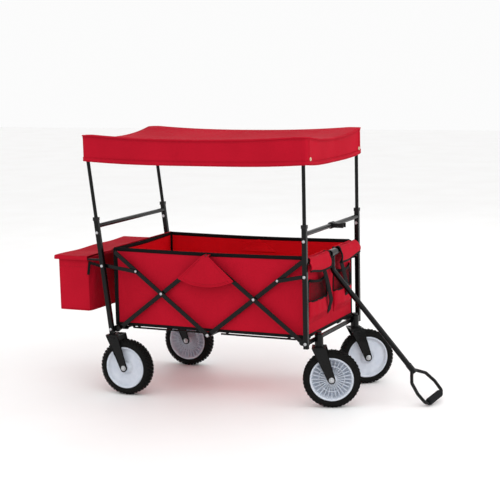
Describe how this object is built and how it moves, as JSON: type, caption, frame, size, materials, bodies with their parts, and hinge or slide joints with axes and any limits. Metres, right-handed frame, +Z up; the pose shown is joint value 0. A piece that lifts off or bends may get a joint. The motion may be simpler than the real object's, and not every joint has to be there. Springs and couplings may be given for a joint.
{
  "type": "children's folding pull wagon",
  "caption": "Children's folding pull wagon: fabric tub on a scissor-folding steel frame, canopy on poles, rear bag, swivelling front casters and a looped pull handle.",
  "frame": {"origin": "middle of the whole wagon's box on the ground", "axes": "+Z up, +X forward towards the pull handle, +Y to the left of the direction of travel"},
  "size_m": [1.4074, 0.566, 0.952],
  "materials": {
    "powder_coated_steel": "satin black powder coat",
    "zinc_hardware": "bright zinc plate",
    "red_oxford_fabric": "woven polyester, coated inside",
    "black_plastic": "moulded, fine spark texture",
    "wheel_plastic": "milky translucent moulding",
    "foam_tyre": "matt black foam",
    "grip_foam": "soft black foam"
  },
  "bodies": {
    "rear_frame": {"rear_post_near": "powder_coated_steel", "rear_post_far": "powder_coated_steel", "rear_pole_near": "powder_coated_steel", "rear_pole_far": "powder_coated_steel", "rear_rivets": "zinc_hardware", "rear_pole_caps": "black_plastic", "rear_push_bar": "powder_coated_steel", "rear_low_tube": "powder_coated_steel", "rear_hinge_hardware": "powder_coated_steel", "tub_rear_panel": "red_oxford_fabric", "tub_side_near": "red_oxford_fabric", "tub_side_far": "red_oxford_fabric", "canopy_cover": "red_oxford_fabric", "bag_rod": "powder_coated_steel", "bag_shell": "red_oxford_fabric", "rear_fork_near": "powder_coated_steel", "rear_fork_far": "powder_coated_steel", "rear_axles": "zinc_hardware"},
    "front_frame": {"front_post_near": "powder_coated_steel", "front_post_far": "powder_coated_steel", "front_pole_near": "powder_coated_steel", "front_pole_far": "powder_coated_steel", "front_rivets": "zinc_hardware", "front_pole_caps": "black_plastic", "front_crossbar": "powder_coated_steel", "front_top_tube": "powder_coated_steel", "front_low_tube": "powder_coated_steel", "front_hinge_hardware": "powder_coated_steel", "tub_front_panel": "red_oxford_fabric", "caster_housings": "powder_coated_steel", "handle_clip": "black_plastic"},
    "foot_bars_rear": {"foot_bars_rear": "powder_coated_steel", "foot_bar_pins_rear": "zinc_hardware"},
    "foot_bars_front": {"foot_bars_front": "powder_coated_steel", "foot_bar_pins_front": "zinc_hardware"},
    "tip_bars_rear": {"tip_bars_rear": "powder_coated_steel", "hub_rod": "powder_coated_steel"},
    "tip_bars_front": {"tip_bars_front": "powder_coated_steel"},
    "struts_rear": {"struts_rear": "powder_coated_steel"},
    "struts_front": {"struts_front": "powder_coated_steel"},
    "floor_rear": {"floor_rails_rear": "powder_coated_steel", "floor_board_rear": "red_oxford_fabric"},
    "floor_front": {"floor_rails_front": "powder_coated_steel", "floor_board_front": "red_oxford_fabric"},
    "bag_lid": {"bag_lid": "red_oxford_fabric"},
    "rear_wheel_near": {"rear_tyre_near": "foam_tyre", "rear_disc_near": "wheel_plastic"},
    "rear_wheel_far": {"rear_tyre_far": "foam_tyre", "rear_disc_far": "wheel_plastic"},
    "caster_near": {"caster_fork_near": "powder_coated_steel", "caster_axle_near": "zinc_hardware"},
    "front_wheel_near": {"front_tyre_near": "foam_tyre", "front_disc_near": "wheel_plastic"},
    "caster_far": {"caster_fork_far": "powder_coated_steel", "caster_axle_far": "zinc_hardware"},
    "front_wheel_far": {"front_tyre_far": "foam_tyre", "front_disc_far": "wheel_plastic"},
    "pull_handle": {"handle_tube": "powder_coated_steel", "handle_grip": "grip_foam"}
  },
  "joints": [
    {"name": "fold", "type": "hinge", "parent": "rear_frame", "child": "foot_bars_rear", "pos_m": [-0.44774, 0, 0.24], "axis": [0, -1, 0], "range_deg": [0, 36.84], "deforming": ["canopy_cover", "tub_side_near", "tub_side_far"]},
    {"name": "fold_middle_top", "type": "hinge", "parent": "foot_bars_rear", "child": "foot_bars_front", "pos_m": [-0.08174, 0, 0.52], "axis": [0, -1, 0], "range_deg": [-73.69, 0]},
    {"name": "fold_front_feet", "type": "hinge", "parent": "foot_bars_front", "child": "front_frame", "pos_m": [0.28426, 0, 0.24], "axis": [0, -1, 0], "range_deg": [0, 36.84]},
    {"name": "fold_rear_cross", "type": "hinge", "parent": "foot_bars_rear", "child": "tip_bars_rear", "pos_m": [-0.26474, 0, 0.38], "axis": [0, -1, 0], "range_deg": [-73.69, 0]},
    {"name": "fold_front_cross", "type": "hinge", "parent": "foot_bars_front", "child": "tip_bars_front", "pos_m": [0.10126, 0, 0.38], "axis": [0, -1, 0], "range_deg": [0, 73.69]},
    {"name": "fold_rear_struts", "type": "hinge", "parent": "rear_frame", "child": "struts_rear", "pos_m": [-0.49584, 0, 0.4741], "axis": [0, -1, 0], "range_deg": [0, 62.51]},
    {"name": "fold_front_struts", "type": "hinge", "parent": "front_frame", "child": "struts_front", "pos_m": [0.30426, 0, 0.47317], "axis": [0, -1, 0], "range_deg": [-74.64, 0]},
    {"name": "fold_rear_floor", "type": "hinge", "parent": "rear_frame", "child": "floor_rear", "pos_m": [-0.42974, 0, 0.24], "axis": [0, -1, 0], "range_deg": [0, 90]},
    {"name": "fold_front_floor", "type": "hinge", "parent": "front_frame", "child": "floor_front", "pos_m": [0.26626, 0, 0.24], "axis": [0, -1, 0], "range_deg": [-90, 0]},
    {"name": "handle_swing", "type": "hinge", "parent": "front_frame", "child": "pull_handle", "pos_m": [0.30426, 0, 0.52], "axis": [0, -1, 0], "range_deg": [0, 139.16]},
    {"name": "bag_lid_hinge", "type": "hinge", "parent": "rear_frame", "child": "bag_lid", "pos_m": [-0.56044, 0, 0.5023], "axis": [0, 1, 0], "range_deg": [0, 95]},
    {"name": "caster_swivel_near", "type": "hinge", "parent": "front_frame", "child": "caster_near", "pos_m": [0.32026, -0.177, 0.217], "axis": [0, 0, 1], "continuous": true},
    {"name": "front_wheel_spin_near", "type": "hinge", "parent": "caster_near", "child": "front_wheel_near", "pos_m": [0.36066, -0.16229, 0.1015], "axis": [-0.342, 0.9397, 0], "continuous": true},
    {"name": "rear_wheel_spin_near", "type": "hinge", "parent": "rear_frame", "child": "rear_wheel_near", "pos_m": [-0.41074, -0.248, 0.1015], "axis": [0, 1, 0], "continuous": true},
    {"name": "caster_swivel_far", "type": "hinge", "parent": "front_frame", "child": "caster_far", "pos_m": [0.32026, 0.177, 0.217], "axis": [0, 0, 1], "continuous": true},
    {"name": "front_wheel_spin_far", "type": "hinge", "parent": "caster_far", "child": "front_wheel_far", "pos_m": [0.35414, 0.20347, 0.1015], "axis": [-0.6157, 0.788, 0], "continuous": true},
    {"name": "rear_wheel_spin_far", "type": "hinge", "parent": "rear_frame", "child": "rear_wheel_far", "pos_m": [-0.41074, 0.248, 0.1015], "axis": [0, 1, 0], "continuous": true}
  ],
  "couplings": [
    {"joint": "fold_middle_top", "follows": "fold", "ratio": -2},
    {"joint": "fold_front_feet", "follows": "fold", "ratio": 1},
    {"joint": "fold_rear_cross", "follows": "fold", "ratio": -2},
    {"joint": "fold_front_cross", "follows": "fold", "ratio": 2},
    {"joint": "fold_rear_struts", "follows": "fold", "ratio": 1.6966},
    {"joint": "fold_front_struts", "follows": "fold", "ratio": -2.0257},
    {"joint": "fold_rear_floor", "follows": "fold", "ratio": 2.4427},
    {"joint": "fold_front_floor", "follows": "fold", "ratio": -2.4427}
  ]
}
